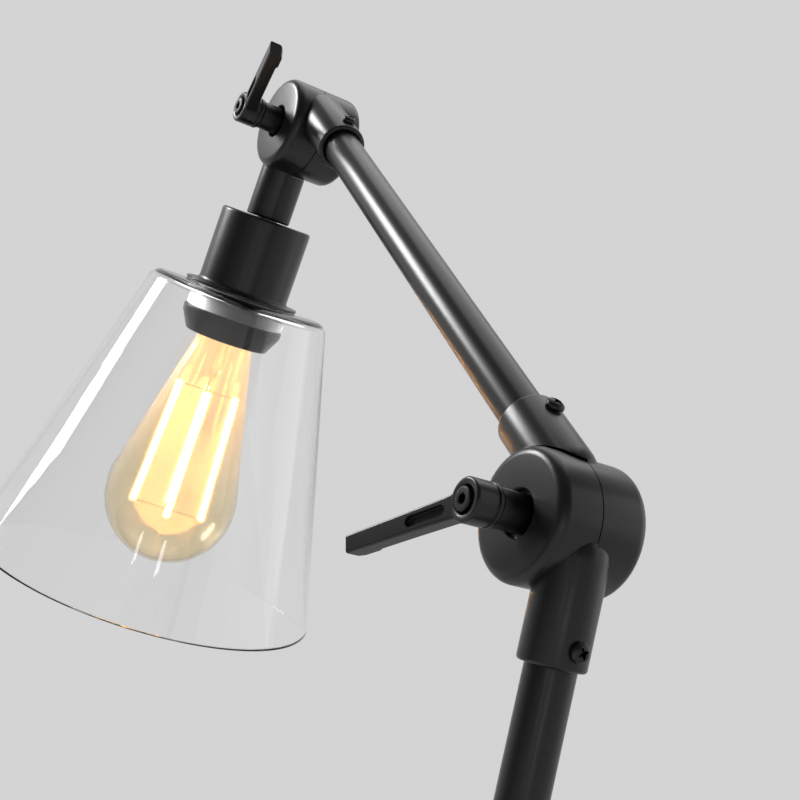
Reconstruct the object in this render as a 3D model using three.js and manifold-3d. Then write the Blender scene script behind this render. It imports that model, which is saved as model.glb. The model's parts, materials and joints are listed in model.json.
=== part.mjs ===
// Desk lamp with two swing arms, three clamped knuckles and a clear glass shade.
// Millimetres, +Z up. The origin is the centre of the base's underside.
// The arms swing in the XZ plane, the shade hangs towards -X, and the clamping levers face -Y.

import * as THREE from 'three';
import { mergeVertices } from 'three/addons/utils/BufferGeometryUtils.js';
import Module from 'manifold-3d';

const wasm = await Module();
wasm.setup();

// Pose in degrees from straight up, positive towards +X
const LOWER_LEAN = 23.7;
const UPPER_LEAN = -33.4;
const NECK_LEAN = -143.2;
const BASE_LEVER_LEAN = -50;
const ELBOW_LEVER_LEAN = -87.5;
const HEAD_LEVER_LEAN = 92;

// Driving sizes
const TUBE_DIAMETER = 16;
const TUBE_WALL = 1.2;
const ARM_LENGTH = 297;
const KNUCKLE_DIAMETER = 42.4;
const BASE_DIAMETER = 190;
const BASE_HEIGHT = 16;
const SHADE_MOUTH_DIAMETER = 170.4;
const SHADE_HEIGHT = 147.4;
const BULB_DIAMETER = 64;
const BULB_LENGTH = 143;
const LEVER_LENGTH = 50.5;

// Clearance between neighbours, overrun of cuts, and the distance within which points are one
const GAP = 0.3;
const OVERRUN = 2;
const WELD = 1e-3;

// How finely round forms are cut
const FINE = 28;
const ROUND = 20;
const MEDIUM = 16;
const COARSE = 10;
const HEXAGON = 6;
const ARC_STEPS = 3;

const knuckle = {
  frontDepth: 15.2,
  rearDepth: 19.2,
  partingGap: 0.4,
  frontEdge: 3.5,
  rearEdge: 4.5,
  recessClearance: 1.4,
  recessDepth: 3,
  threadClearance: 2,
  sleeveOffset: 12,
  neckOffset: 8,
  sleeveWall: 2.3,
  sleeveStart: 5,
  sleeveEdge: 1.2,
  socketClearance: 2.8,
  overhangGap: 0.8,
};

// How deep each sleeve is bored for its tube, and where its screw is, from the bottom of the bore
const boring = {
  front: { depth: 17.3, screwAt: 11.2 },
  rear: { depth: 14, screwAt: 6.6 },
  head: { depth: 20.5, screwAt: 14 },
};

const washer = { innerRadius: 6.5, outerRadius: 15, thickness: 2.4 };

const stud = {
  radius: 3,
  length: 13,
  tipChamfer: 0.8,
  bushRadius: 6.2,
  bushEdge: 0.5,
  toothRoot: 4.3,
  toothTip: 5,
  toothLength: 3.3,
  teeth: 16,
  boreBeyondScrew: 2.8,
};

const handle = {
  standOff: 9.4,
  hubRadius: 7,
  hubEdge: 0.9,
  rearEdge: 0.5,
  recessClearance: 0.9,
  liftTravel: 3,
  webThickness: 0.9,
  grooveFromRear: 1.6,
  grooveWidth: 0.8,
  grooveDepth: 0.5,
  rootHalfWidth: 5,
  neckHalfWidth: 3.9,
  waistHalfWidth: 3.6,
  tipHalfWidth: 3.2,
  rootThickness: 7.6,
  waistThickness: 6,
  tipThickness: 7,
  tipLength: 15,
  stepLength: 0.8,
  rise: 5.8,
  endChamfer: 2,
  endCorner: 1,
  slotHalfWidth: 1.8,
  slotStart: 10,
  slotEnd: 27,
  slotDepth: 1.8,
};

const leverScrewSizes = {
  headRadius: 3.8,
  headHeight: 3.2,
  headEdge: 0.4,
  shankRadius: 2,
  shankLength: 10,
  hexRadius: 1.8,
  hexDepth: 1.8,
  belowFace: 0.6,
};

const sleeveScrew = {
  headRadius: 3.2,
  headHeight: 2.2,
  rimHeight: 1,
  crownShoulderShare: 0.7,
  crownHeightShare: 0.85,
  shankRadius: 1.6,
  shankLength: 6,
};

const base = {
  padInset: 4,
  padThickness: 2,
  coverWall: 1.5,
  edgeRadius: 5,
  weightInset: 1.2,
  weightGap: 1.5,
  nutPocketClearance: 1,
  nutPocketSpare: 1.6,
  stemShown: 6.8,
};

const stemNut = { cornerReach: 4.1, height: 4, washerReach: 4.7, washerThickness: 1.2, tubeProud: 0.6 };

const inlet = {
  height: 6.9,
  holeRadius: 3.2,
  bodyRadius: 3.9,
  flangeRadius: 4.6,
  outerFlange: 1.4,
  innerFlange: 1,
};

const pushSwitch = {
  reach: 58,
  bodyRadius: 10,
  bodyHeight: 9.2,
  pocketClearance: 0.8,
  collarRadius: 6.6,
  collarHeight: 2.8,
  nutRadius: 9.2,
  nutHeight: 2,
  buttonRadius: 4.8,
  buttonProud: 3.6,
  buttonEdge: 0.8,
  wellDepth: 7,
  travel: 2.5,
};

const nipple = {
  radius: 4.9,
  boreRadius: 3.4,
  inNeck: 13.5,
  proudOfNut: 2.3,
  nutCornerRadius: 8.6,
  nutHeight: 2.8,
};

const holder = {
  radius: 22,
  height: 38.2,
  wall: 1.3,
  edgeRadius: 1.4,
  brimRadius: 27.6,
  brimThickness: 1.2,
  coveRadius: 2.2,
  coreClearance: 1.5,
  coreDrop: 2.1,
  coreDepth: 36.8,
  capClearance: 0.9,
  shellWall: 0.6,
  shellDrop: 2,
  shellHeight: 22,
  contactRadius: 3,
};

const shade = {
  wall: 3,
  holeClearance: 0.8,
  collarWall: 4,
  collarDepth: 8.1,
  shoulderRadius: 43.4,
  cornerRadius: 4.5,
};

const ring = {
  seatOverhang: 0.5,
  seatHeight: 3,
  threadClearance: 0.4,
  mouthClearance: 2.3,
  mouthWall: 4.4,
  lipThickness: 3.1,
  height: 11.5,
};

const bulb = {
  capRadius: 13.1,
  threadDepth: 0.7,
  capHeight: 23.2,
  intoHolder: 8,
  contactRadius: 4,
  insulatorHeight: 5,
  threadPitch: 3.6,
  threadTurns: 4,
  neckRadius: 13.3,
  neckLength: 8.4,
  wall: 1,
  flareClearance: 2.8,
  flareHeight: 5,
  stemRadius: 2.8,
  stemLength: 24,
  postRadius: 1.2,
  armRadius: 0.5,
  armInset: 1.6,
  filamentRadius: 1.4,
  filamentTop: 29.8,
  filamentLength: 58,
  filamentTopCircle: 13.8,
  filamentEndCircle: 16.8,
  filaments: 4,
  filamentTurn: 20,
};

const paint = { color: 0x17181a, roughness: 0.42, metalness: 0.35 };
const castPaint = { color: 0x1b1c1f, roughness: 0.4, metalness: 0.35 };
const blackSteel = { color: 0x101113, roughness: 0.3, metalness: 0.8 };
const brightSteel = { color: 0xa9adb1, roughness: 0.32, metalness: 1 };
const castIron = { color: 0x3b3a38, roughness: 0.8, metalness: 0.7 };
const foam = { color: 0x1d1d1d, roughness: 0.95, metalness: 0 };
const fibre = { color: 0x2c2a27, roughness: 0.9, metalness: 0 };
const rubber = { color: 0x151515, roughness: 0.85, metalness: 0 };
const moulded = { color: 0x141312, roughness: 0.35, metalness: 0 };
const brass = { color: 0xb9923f, roughness: 0.35, metalness: 1 };
const clearGlass = { color: 0xf2f6f6, roughness: 0.04, metalness: 0, transparent: true, opacity: 0.25 };
const amberGlass = { color: 0xe0a65a, roughness: 0.05, metalness: 0, transparent: true, opacity: 0.4 };
const glow = { color: 0xffdf9a, roughness: 0.6, metalness: 0 };

const radians = THREE.MathUtils.degToRad;
const degrees = THREE.MathUtils.radToDeg;

// A closed solid from any closed geometry: shared points merged, slivers dropped, faces turned out.
function solid(geometry) {
  geometry.deleteAttribute('normal');
  geometry.deleteAttribute('uv');
  const welded = mergeVertices(geometry, WELD);
  const points = welded.attributes.position.array;
  const corners = [...welded.index.array];
  const at = (index) => new THREE.Vector3().fromArray(points, 3 * index);
  const faces = [];
  let volume = 0;
  for (let i = 0; i < corners.length; i += 3) {
    const [a, b, c] = corners.slice(i, i + 3);
    if (a === b || b === c || c === a) continue;
    faces.push([a, b, c]);
    volume += at(a).dot(at(b).cross(at(c)));
  }
  const outward = volume < 0 ? faces.map(([a, b, c]) => [a, c, b]) : faces;
  return new wasm.Manifold(new wasm.Mesh({
    numProp: 3,
    vertProperties: new Float32Array(points),
    triVerts: new Uint32Array(outward.flat()),
  }));
}

function piece(name, manifold, look) {
  const mesh = manifold.getMesh();
  const geometry = new THREE.BufferGeometry();
  geometry.setAttribute('position', new THREE.BufferAttribute(mesh.vertProperties, 3));
  geometry.setIndex(new THREE.BufferAttribute(mesh.triVerts, 1));
  geometry.computeVertexNormals();
  const made = new THREE.Mesh(geometry, new THREE.MeshStandardMaterial(look));
  made.name = name;
  return made;
}

// A profile of [radius, height] points turned about Y, Z or X.
function turnedY(profile, segments = MEDIUM) {
  const points = profile.map(([radius, height]) => new THREE.Vector2(radius, height));
  return new THREE.LatheGeometry(points, segments);
}

function turnedZ(profile, segments = MEDIUM) {
  return turnedY(profile, segments).rotateX(Math.PI / 2);
}

function turnedX(profile, segments = MEDIUM) {
  return turnedY(profile, segments).rotateZ(-Math.PI / 2);
}

function rod(radius, from, to) {
  return [[0, from], [radius, from], [radius, to], [0, to]];
}

function sleeveProfile(inner, outer, from, to) {
  return [[inner, from], [outer, from], [outer, to], [inner, to], [inner, from]];
}

// Points of an arc round [x, y], both ends included, angles in degrees.
function arc(x, y, radius, from, to, steps = ARC_STEPS) {
  const points = [];
  for (let i = 0; i <= steps; i += 1) {
    const angle = radians(from + (to - from) * i / steps);
    points.push([x + radius * Math.cos(angle), y + radius * Math.sin(angle)]);
  }
  return points;
}

function outline(points) {
  const shape = new THREE.Shape();
  shape.moveTo(...points[0]);
  for (const point of points.slice(1)) shape.lineTo(...point);
  shape.closePath();
  return shape;
}

// An outline in X and Z, extruded towards the lever side between two distances from the parting plane.
function extrudedForward(points, from, to) {
  const settings = { depth: to - from, bevelEnabled: false, steps: 1 };
  const geometry = new THREE.ExtrudeGeometry(outline(points), settings);
  return geometry.rotateX(Math.PI / 2).translate(0, -from, 0);
}

// An outline in [distance along Z, distance towards the lever side], extruded evenly to both sides in X.
function extrudedSideways(points, halfWidth) {
  const settings = { depth: 2 * halfWidth, bevelEnabled: false, steps: 1 };
  const geometry = new THREE.ExtrudeGeometry(outline(points), settings).translate(0, 0, -halfWidth);
  const toSide = new THREE.Matrix4().makeBasis(
    new THREE.Vector3(0, 0, 1),
    new THREE.Vector3(0, -1, 0),
    new THREE.Vector3(1, 0, 0),
  );
  return geometry.applyMatrix4(toSide);
}

// The direction that leans from straight up towards +X, and the one to its right.
function along(lean) {
  return new THREE.Vector3(Math.sin(radians(lean)), 0, Math.cos(radians(lean)));
}

function across(lean) {
  return new THREE.Vector3(Math.cos(radians(lean)), 0, -Math.sin(radians(lean)));
}

// A group at a point whose local Z leans by the angle given.
function placed(point, lean, ...pieces) {
  const group = new THREE.Group();
  group.position.copy(point);
  group.rotation.y = radians(lean);
  group.add(...pieces);
  return group;
}

// A sleeve's length and its screw's place, measured from the pivot
const socketBottom = KNUCKLE_DIAMETER / 2 + knuckle.socketClearance;

function sleeveOf({ depth, screwAt }) {
  return { length: socketBottom + depth, screwAt: socketBottom + screwAt };
}

const sleeves = {
  front: sleeveOf(boring.front),
  rear: sleeveOf(boring.rear),
  head: sleeveOf(boring.head),
};

// What the sleeves hold
const tubeSocket = { radius: TUBE_DIAMETER / 2 + GAP, bottom: socketBottom };
const sleeveRadius = tubeSocket.radius + knuckle.sleeveWall;
const nippleStart = sleeves.head.length - nipple.inNeck;
const nippleSocket = { radius: nipple.radius + GAP, bottom: nippleStart - GAP };

// One half of a knuckle, cast in one with the sleeve that holds its tube.
// The pivot is local Y and the sleeve runs along +Z, beside the pivot on the side given.
// A front half lies towards the lever and a rear half away from it.
function casting(name, settings) {
  const { rear, side, sleeve, offset = knuckle.sleeveOffset } = settings;
  const { socket = tubeSocket, screwed = true } = settings;
  const radius = KNUCKLE_DIAMETER / 2;
  const { partingGap, sleeveEdge } = knuckle;
  const hand = rear ? 1 : -1;
  const depth = rear ? knuckle.rearDepth : knuckle.frontDepth;
  const edge = rear ? knuckle.rearEdge : knuckle.frontEdge;
  const face = hand * partingGap / 2;
  const before = face - hand * OVERRUN;
  const shift = side * offset;

  const rounded = arc(radius - edge, depth - edge, edge, 0, 90).map(([r, y]) => [r, hand * y]);
  const cup = solid(turnedY([[0, face], [radius, face], ...rounded, [0, hand * depth]], FINE));
  const stem = solid(turnedZ([
    ...arc(0, knuckle.sleeveStart, sleeveRadius, -90, 0),
    ...arc(sleeveRadius - sleeveEdge, sleeve.length - sleeveEdge, sleeveEdge, 0, 90, 2),
    [0, sleeve.length],
  ], ROUND).translate(shift, 0, 0));
  const otherHalf = solid(turnedY(
    rod(radius + knuckle.overhangGap, face, -hand * (sleeveRadius + OVERRUN)),
    FINE,
  ));
  const bore = turnedZ(rod(socket.radius, socket.bottom, sleeve.length + OVERRUN), ROUND);
  let body = cup.add(stem.subtract(otherHalf)).subtract(solid(bore.translate(shift, 0, 0)));

  if (screwed) {
    const holeRadius = sleeveScrew.shankRadius + GAP;
    const hole = turnedX(rod(holeRadius, sleeveRadius / 2, sleeveRadius + OVERRUN), COARSE);
    if (side < 0) hole.rotateY(Math.PI);
    body = body.subtract(solid(hole.translate(shift, 0, sleeve.screwAt)));
  }

  const pocketEnd = hand * (washer.thickness / 2 + GAP);
  const pocket = sleeveProfile(washer.innerRadius - GAP, washer.outerRadius + GAP, before, pocketEnd);
  const studHoleEnd = rear ? stud.length + knuckle.threadClearance : -(depth + OVERRUN);
  body = body.subtract(solid(turnedY(pocket, ROUND)));
  body = body.subtract(solid(turnedY(rod(stud.radius + GAP, before, studHoleEnd), COARSE)));
  if (!rear) {
    const recessRadius = stud.bushRadius + knuckle.recessClearance;
    const recess = rod(recessRadius, knuckle.recessDepth - depth, -(depth + OVERRUN));
    body = body.subtract(solid(turnedY(recess)));
  }
  return piece(name, body, castPaint);
}

// The fibre ring that the two halves of a knuckle clamp between them.
function frictionWasher(name) {
  const half = washer.thickness / 2;
  const profile = sleeveProfile(washer.innerRadius, washer.outerRadius, -half, half);
  return piece(name, solid(turnedY(profile, ROUND)), fibre);
}

// Ratchet teeth with straight flanks, as on the insert and in the handle.
function toothOutline(root, tip) {
  const points = [];
  const step = 2 * Math.PI / stud.teeth;
  for (let i = 0; i < stud.teeth; i += 1) {
    const valley = i * step;
    const crest = valley + step / 2;
    points.push([root * Math.cos(valley), root * Math.sin(valley)]);
    points.push([tip * Math.cos(crest), tip * Math.sin(crest)]);
  }
  return points;
}

// Places along a lever's hub, measured forward from the parting plane.
// The screw's recess lets the handle be pulled off its teeth, clear of the screw's head.
const { belowFace, headHeight: leverHeadHeight } = leverScrewSizes;
const hubRecessDepth = belowFace + leverHeadHeight + handle.liftTravel + 2 * GAP;
const hubRear = knuckle.frontDepth + handle.standOff;
const hubFront = hubRear + stud.toothLength + handle.webThickness + hubRecessDepth;
const insertEnd = hubRear - GAP;
const screwUnder = hubFront - belowFace - leverHeadHeight;
const screwBore = leverScrewSizes.shankRadius + GAP;

// The steel insert: threaded stud, plain bush and toothed end in one.
function clampStud(name) {
  const seat = knuckle.frontDepth - knuckle.recessDepth + GAP;
  const toothEnd = insertEnd + stud.toothLength;
  const shaft = solid(turnedY([
    [0, stud.length],
    [stud.radius - stud.tipChamfer, stud.length],
    [stud.radius, stud.length - stud.tipChamfer],
    [stud.radius, -seat],
    [stud.bushRadius - stud.bushEdge, -seat],
    [stud.bushRadius, -seat - stud.bushEdge],
    [stud.bushRadius, -insertEnd],
    [0, -insertEnd],
  ]));
  const toothRing = toothOutline(stud.toothRoot, stud.toothTip);
  const teeth = solid(extrudedForward(toothRing, insertEnd - OVERRUN, toothEnd));
  const boreEnd = screwUnder - leverScrewSizes.shankLength - stud.boreBeyondScrew;
  const bore = rod(screwBore, -boreEnd, -toothEnd - OVERRUN);
  return piece(name, shaft.add(teeth).subtract(solid(turnedY(bore, COARSE))), blackSteel);
}

// The front of the lever's arm rises away from the knuckle towards its tip.
function armFront(distance) {
  return hubFront + handle.rise * distance / LEVER_LENGTH;
}

// The arm from in front, narrower and narrower from its root to its tip.
function armPlan() {
  const { rootHalfWidth, neckHalfWidth, waistHalfWidth, tipHalfWidth } = handle;
  const { slotStart, slotEnd, endCorner } = handle;
  const right = [
    [rootHalfWidth, 0],
    [neckHalfWidth, slotStart],
    [waistHalfWidth, slotEnd],
    [tipHalfWidth, LEVER_LENGTH - endCorner],
    [tipHalfWidth - endCorner, LEVER_LENGTH],
  ];
  const left = right.map(([x, z]) => [-x, z]).reverse();
  return [...right, ...left];
}

// The arm from the side: a slim waist, then a step to the thicker finger tip with its lower end chamfered.
function armSide() {
  const { rootThickness, waistThickness, tipThickness, tipLength, stepLength, endChamfer } = handle;
  const stepStart = LEVER_LENGTH - tipLength;
  return [
    [0, armFront(0)],
    [LEVER_LENGTH, armFront(LEVER_LENGTH)],
    [LEVER_LENGTH, armFront(LEVER_LENGTH) - tipThickness + endChamfer],
    [LEVER_LENGTH - endChamfer, armFront(LEVER_LENGTH) - tipThickness],
    [stepStart + stepLength, armFront(stepStart) - tipThickness],
    [stepStart, armFront(stepStart) - waistThickness],
    [handle.slotStart, armFront(handle.slotStart) - waistThickness],
    [0, armFront(0) - rootThickness],
  ];
}

// The round-ended slot sunk in the arm's front, with a floor that follows the front.
function armSlot() {
  const { slotHalfWidth, slotStart, slotEnd, slotDepth } = handle;
  const points = [
    ...arc(0, slotStart + slotHalfWidth, slotHalfWidth, 180, 360),
    ...arc(0, slotEnd - slotHalfWidth, slotHalfWidth, 0, 180),
  ];
  const outer = armFront(LEVER_LENGTH) + OVERRUN;
  const side = [
    [0, armFront(0) - slotDepth],
    [LEVER_LENGTH, armFront(LEVER_LENGTH) - slotDepth],
    [LEVER_LENGTH, outer],
    [0, outer],
  ];
  const fromAbove = solid(extrudedForward(points, hubRear, outer));
  return fromAbove.intersect(solid(extrudedSideways(side, handle.hubRadius)));
}

// The die-cast handle: hub round the insert, recess for the screw, and the arm along local Z.
function leverHandle(name) {
  const { hubRadius, hubEdge, rearEdge, webThickness, grooveDepth } = handle;
  const recessRadius = leverScrewSizes.headRadius + handle.recessClearance;
  const grooveStart = hubRear + handle.grooveFromRear;
  const grooveEnd = grooveStart + handle.grooveWidth;
  const outer = armFront(LEVER_LENGTH) + OVERRUN;
  const webEnd = hubFront - hubRecessDepth;
  const hub = solid(turnedY([
    [0, -hubRear],
    [hubRadius - rearEdge, -hubRear],
    [hubRadius, -hubRear - rearEdge],
    [hubRadius, -grooveStart],
    [hubRadius - grooveDepth, -grooveStart],
    [hubRadius - grooveDepth, -grooveEnd],
    [hubRadius, -grooveEnd],
    [hubRadius, hubEdge - hubFront],
    [hubRadius - hubEdge, -hubFront],
    [0, -hubFront],
  ]));
  const plan = solid(extrudedForward(armPlan(), hubRear, outer));
  const arm = plan.intersect(solid(extrudedSideways(armSide(), hubRadius)));
  const teeth = toothOutline(stud.toothRoot + GAP, stud.toothTip + GAP);
  const body = hub.add(arm)
    .subtract(armSlot())
    .subtract(solid(turnedY(rod(recessRadius, -webEnd, -outer))))
    .subtract(solid(turnedY(rod(screwBore, -hubRear + OVERRUN, -outer), COARSE)))
    .subtract(solid(extrudedForward(teeth, hubRear - OVERRUN, webEnd - webThickness)));
  return piece(name, body, castPaint);
}

// The hex-socket screw that keeps the handle on its insert.
function leverScrew(name) {
  const { headRadius, headEdge, shankRadius, shankLength, hexRadius, hexDepth } = leverScrewSizes;
  const under = screwUnder;
  const top = hubFront - belowFace;
  const body = solid(turnedY([
    [0, shankLength - under],
    [shankRadius, shankLength - under],
    [shankRadius, -under],
    [headRadius, -under],
    [headRadius, headEdge - top],
    [headRadius - headEdge, -top],
    [0, -top],
  ], COARSE));
  const hex = solid(turnedY(rod(hexRadius, hexDepth - top, -top - OVERRUN), HEXAGON));
  return piece(name, body.subtract(hex), blackSteel);
}

// Insert, handle and screw of one knuckle, with the handle along local Z.
function clamp(joint) {
  return [
    clampStud(`${joint}_clamp_stud`),
    leverHandle(`${joint}_lever`),
    leverScrew(`${joint}_lever_screw`),
  ];
}

// The pan-head screw that pins a tube in its sleeve, on the outer side of the sleeve.
function tubeScrew(name, side, sleeve) {
  const { headRadius, headHeight, rimHeight, shankRadius, shankLength } = sleeveScrew;
  const seat = sleeveRadius + GAP;
  const crown = headHeight - rimHeight;
  const geometry = turnedX([
    [0, seat - shankLength],
    [shankRadius, seat - shankLength],
    [shankRadius, seat],
    [headRadius, seat],
    [headRadius, seat + rimHeight],
    [headRadius * sleeveScrew.crownShoulderShare, seat + rimHeight + crown * sleeveScrew.crownHeightShare],
    [0, seat + headHeight],
  ], COARSE);
  if (side < 0) geometry.rotateY(Math.PI);
  geometry.translate(side * knuckle.sleeveOffset, 0, sleeve.screwAt);
  return piece(name, solid(geometry), blackSteel);
}

// A plain tube along local Z from zero, cross-drilled for its sleeve screws.
function tube(name, length, holes) {
  const outer = TUBE_DIAMETER / 2;
  let body = solid(turnedZ(sleeveProfile(outer - TUBE_WALL, outer, 0, length), ROUND));
  for (const { height, side } of holes) {
    const hole = turnedX(rod(sleeveScrew.shankRadius + GAP, 0, outer + OVERRUN), COARSE);
    if (side < 0) hole.rotateY(Math.PI);
    body = body.subtract(solid(hole.translate(0, 0, height)));
  }
  return piece(name, body, paint);
}

// Places of the pivots, and of a tube's end measured from a pivot
const sleeveShift = knuckle.sleeveOffset;
const tubeStart = socketBottom + GAP;
const basePivot = new THREE.Vector3(sleeveShift, 0, BASE_HEIGHT + base.stemShown + sleeves.rear.length);
const elbowPivot = basePivot.clone()
  .addScaledVector(along(LOWER_LEAN), ARM_LENGTH)
  .addScaledVector(across(LOWER_LEAN), -2 * sleeveShift);
const headPivot = elbowPivot.clone().addScaledVector(along(UPPER_LEAN), ARM_LENGTH);

const coverUnderside = BASE_HEIGHT - base.coverWall;
const weightBottom = base.padThickness + GAP;
const weightTop = coverUnderside - base.weightGap;
const weightRadius = BASE_DIAMETER / 2 - base.coverWall - base.weightInset;
const stemHole = TUBE_DIAMETER / 2 + GAP;
const washerRadius = stemHole + stemNut.washerReach;
const stemBottom = weightBottom + base.nutPocketSpare;
const nutTop = stemBottom + stemNut.tubeProud + stemNut.height;
const washerTop = nutTop + GAP + stemNut.washerThickness;
const nutPocketTop = washerTop + GAP;

function basePad() {
  const radius = BASE_DIAMETER / 2 - base.padInset;
  return piece('base_pad', solid(turnedZ(rod(radius, 0, base.padThickness), FINE)), foam);
}

// The cast weight, with the stem's nut pocket, the wire channel and the switch's pocket.
function baseWeight() {
  const pocketRadius = pushSwitch.bodyRadius + pushSwitch.pocketClearance;
  const pocket = turnedZ(rod(pocketRadius, 0, weightTop + OVERRUN)).translate(-pushSwitch.reach, 0, 0);
  const channel = turnedX(rod(inlet.flangeRadius + GAP, 0, weightRadius + OVERRUN), COARSE)
    .rotateX(Math.PI / COARSE)
    .translate(0, 0, inlet.height);
  const weight = solid(turnedZ(rod(weightRadius, weightBottom, weightTop), FINE))
    .subtract(solid(turnedZ(rod(stemHole, 0, weightTop + OVERRUN))))
    .subtract(solid(turnedZ(rod(washerRadius + base.nutPocketClearance, 0, nutPocketTop))))
    .subtract(solid(pocket))
    .subtract(solid(channel));
  return piece('base_weight', weight, castIron);
}

// The spun cover: a flat top, a round edge and a straight skirt.
function baseCover() {
  const radius = BASE_DIAMETER / 2;
  const { coverWall } = base;
  const edgeRadius = Math.min(base.edgeRadius, BASE_HEIGHT - inlet.height - inlet.bodyRadius);
  const bendR = radius - edgeRadius;
  const bendZ = BASE_HEIGHT - edgeRadius;
  const cover = solid(turnedZ([
    [radius, weightBottom],
    ...arc(bendR, bendZ, edgeRadius, 0, 90),
    [0, BASE_HEIGHT],
    [0, coverUnderside],
    ...arc(bendR, bendZ, edgeRadius - coverWall, 90, 0, 2),
    [radius - coverWall, weightBottom],
    [radius, weightBottom],
  ], FINE));
  const switchHole = turnedZ(rod(pushSwitch.collarRadius + GAP, 0, BASE_HEIGHT + OVERRUN));
  const wireHole = turnedX(rod(inlet.bodyRadius + GAP, radius - edgeRadius, radius + OVERRUN));
  const body = cover
    .subtract(solid(turnedZ(rod(stemHole, 0, BASE_HEIGHT + OVERRUN))))
    .subtract(solid(switchHole.translate(-pushSwitch.reach, 0, 0)))
    .subtract(solid(wireHole.translate(0, 0, inlet.height)));
  return piece('base_cover', body, paint);
}

function stemWasher() {
  const washerBottom = washerTop - stemNut.washerThickness;
  const profile = sleeveProfile(stemHole, washerRadius, washerBottom, washerTop);
  return piece('stem_washer', solid(turnedZ(profile)), brightSteel);
}

function hexNut(name, cornerRadius, holeRadius, bottom, height) {
  const body = solid(turnedZ(rod(cornerRadius, bottom, bottom + height), HEXAGON));
  const hole = solid(turnedZ(rod(holeRadius, bottom - OVERRUN, bottom + height + OVERRUN)));
  return piece(name, body.subtract(hole), brightSteel);
}

function stemTube() {
  const length = basePivot.z - tubeStart - stemBottom;
  const hole = { height: basePivot.z - sleeves.rear.screwAt - stemBottom, side: -1 };
  return placed(new THREE.Vector3(0, 0, stemBottom), 0, tube('stem_tube', length, [hole]));
}

// The rubber grommet in the skirt, with its hole empty.
function cableGrommet() {
  const outerFace = BASE_DIAMETER / 2 + GAP;
  const innerFace = BASE_DIAMETER / 2 - base.coverWall - 2 * GAP;
  const { holeRadius, bodyRadius, flangeRadius, outerFlange, innerFlange } = inlet;
  const profile = [
    [holeRadius, innerFace - innerFlange],
    [flangeRadius, innerFace - innerFlange],
    [flangeRadius, innerFace],
    [bodyRadius, innerFace],
    [bodyRadius, outerFace],
    [flangeRadius, outerFace],
    [flangeRadius, outerFace + outerFlange],
    [holeRadius, outerFace + outerFlange],
    [holeRadius, innerFace - innerFlange],
  ];
  return piece('cable_grommet', solid(turnedX(profile, COARSE).translate(0, 0, inlet.height)), rubber);
}

// The push switch in the cover: body below, collar through it, ring nut on top and the button inside.
function switchParts() {
  const { bodyRadius, bodyHeight, collarRadius, collarHeight, nutRadius, nutHeight } = pushSwitch;
  const { buttonRadius, buttonProud, buttonEdge, wellDepth, travel } = pushSwitch;
  const bodyTop = coverUnderside - GAP;
  const collarTop = BASE_HEIGHT + collarHeight;
  const well = collarTop - wellDepth;
  const body = solid(turnedZ([
    [0, bodyTop - bodyHeight],
    [bodyRadius, bodyTop - bodyHeight],
    [bodyRadius, bodyTop],
    [collarRadius, bodyTop],
    [collarRadius, collarTop],
    [buttonRadius + GAP, collarTop],
    [buttonRadius + GAP, well],
    [0, well],
  ]));
  const nut = sleeveProfile(collarRadius + GAP, nutRadius, BASE_HEIGHT + GAP, BASE_HEIGHT + GAP + nutHeight);
  const buttonTop = collarTop + buttonProud;
  const button = solid(turnedZ([
    [0, well + GAP + travel],
    [buttonRadius, well + GAP + travel],
    [buttonRadius, buttonTop - buttonEdge],
    [buttonRadius - buttonEdge, buttonTop],
    [0, buttonTop],
  ]));
  return placed(
    new THREE.Vector3(-pushSwitch.reach, 0, 0),
    0,
    piece('switch_body', body, moulded),
    piece('switch_nut', solid(turnedZ(nut)), blackSteel),
    piece('switch_button', button, moulded),
  );
}

// The head hangs along local Z from the head pivot. These are its heights, measured from the pivot.
const cupTop = sleeves.head.length + GAP;
const brimBottom = cupTop + holder.height;
const glassTop = brimBottom + GAP;
const glassMouth = glassTop + SHADE_HEIGHT;
const collarEnd = glassTop + shade.wall + shade.collarDepth;
const ringTop = collarEnd + GAP;
const lipTop = ringTop + ring.height - ring.lipThickness;
const nippleEnd = cupTop + holder.wall + GAP + nipple.nutHeight + nipple.proudOfNut;
const coreRadius = holder.radius - holder.wall - holder.coreClearance;
const coreBore = bulb.capRadius + holder.capClearance + holder.shellWall + GAP;
const coreTop = nippleEnd + holder.coreDrop;
const coreBottom = lipTop - GAP;
const coreFloor = coreBottom - holder.coreDepth;
const holeRadius = coreRadius + shade.holeClearance;
const collarRadius = holeRadius + shade.collarWall;
const capTop = coreFloor + bulb.intoHolder;
const capBottom = capTop + bulb.capHeight;
const glassStart = capBottom + GAP;
const ballCentre = capTop + BULB_LENGTH - BULB_DIAMETER / 2;

function neckNipple() {
  const profile = sleeveProfile(nipple.boreRadius, nipple.radius, nippleStart, nippleEnd);
  return piece('neck_nipple', solid(turnedZ(profile)), brightSteel);
}

function neckNut() {
  const bottom = cupTop + holder.wall + GAP;
  return hexNut('neck_nut', nipple.nutCornerRadius, nipple.radius + GAP, bottom, nipple.nutHeight);
}

// The spun cup: round top edge, straight wall, and a cove out to the brim that the glass seats against.
function holderCup() {
  const { radius, wall, edgeRadius, brimRadius, brimThickness, coveRadius } = holder;
  const brimTop = brimBottom - brimThickness;
  const cup = solid(turnedZ([
    [0, cupTop],
    ...arc(radius - edgeRadius, cupTop + edgeRadius, edgeRadius, -90, 0),
    ...arc(radius + coveRadius, brimTop - coveRadius, coveRadius, 180, 90),
    [brimRadius, brimTop],
    [brimRadius, brimBottom],
    [radius - wall, brimBottom],
    [radius - wall, cupTop + wall],
    [0, cupTop + wall],
  ], FINE));
  const hole = solid(turnedZ(rod(nipple.radius + GAP, cupTop - OVERRUN, cupTop + wall + OVERRUN)));
  return piece('holder_cup', cup.subtract(hole), paint);
}

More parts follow.
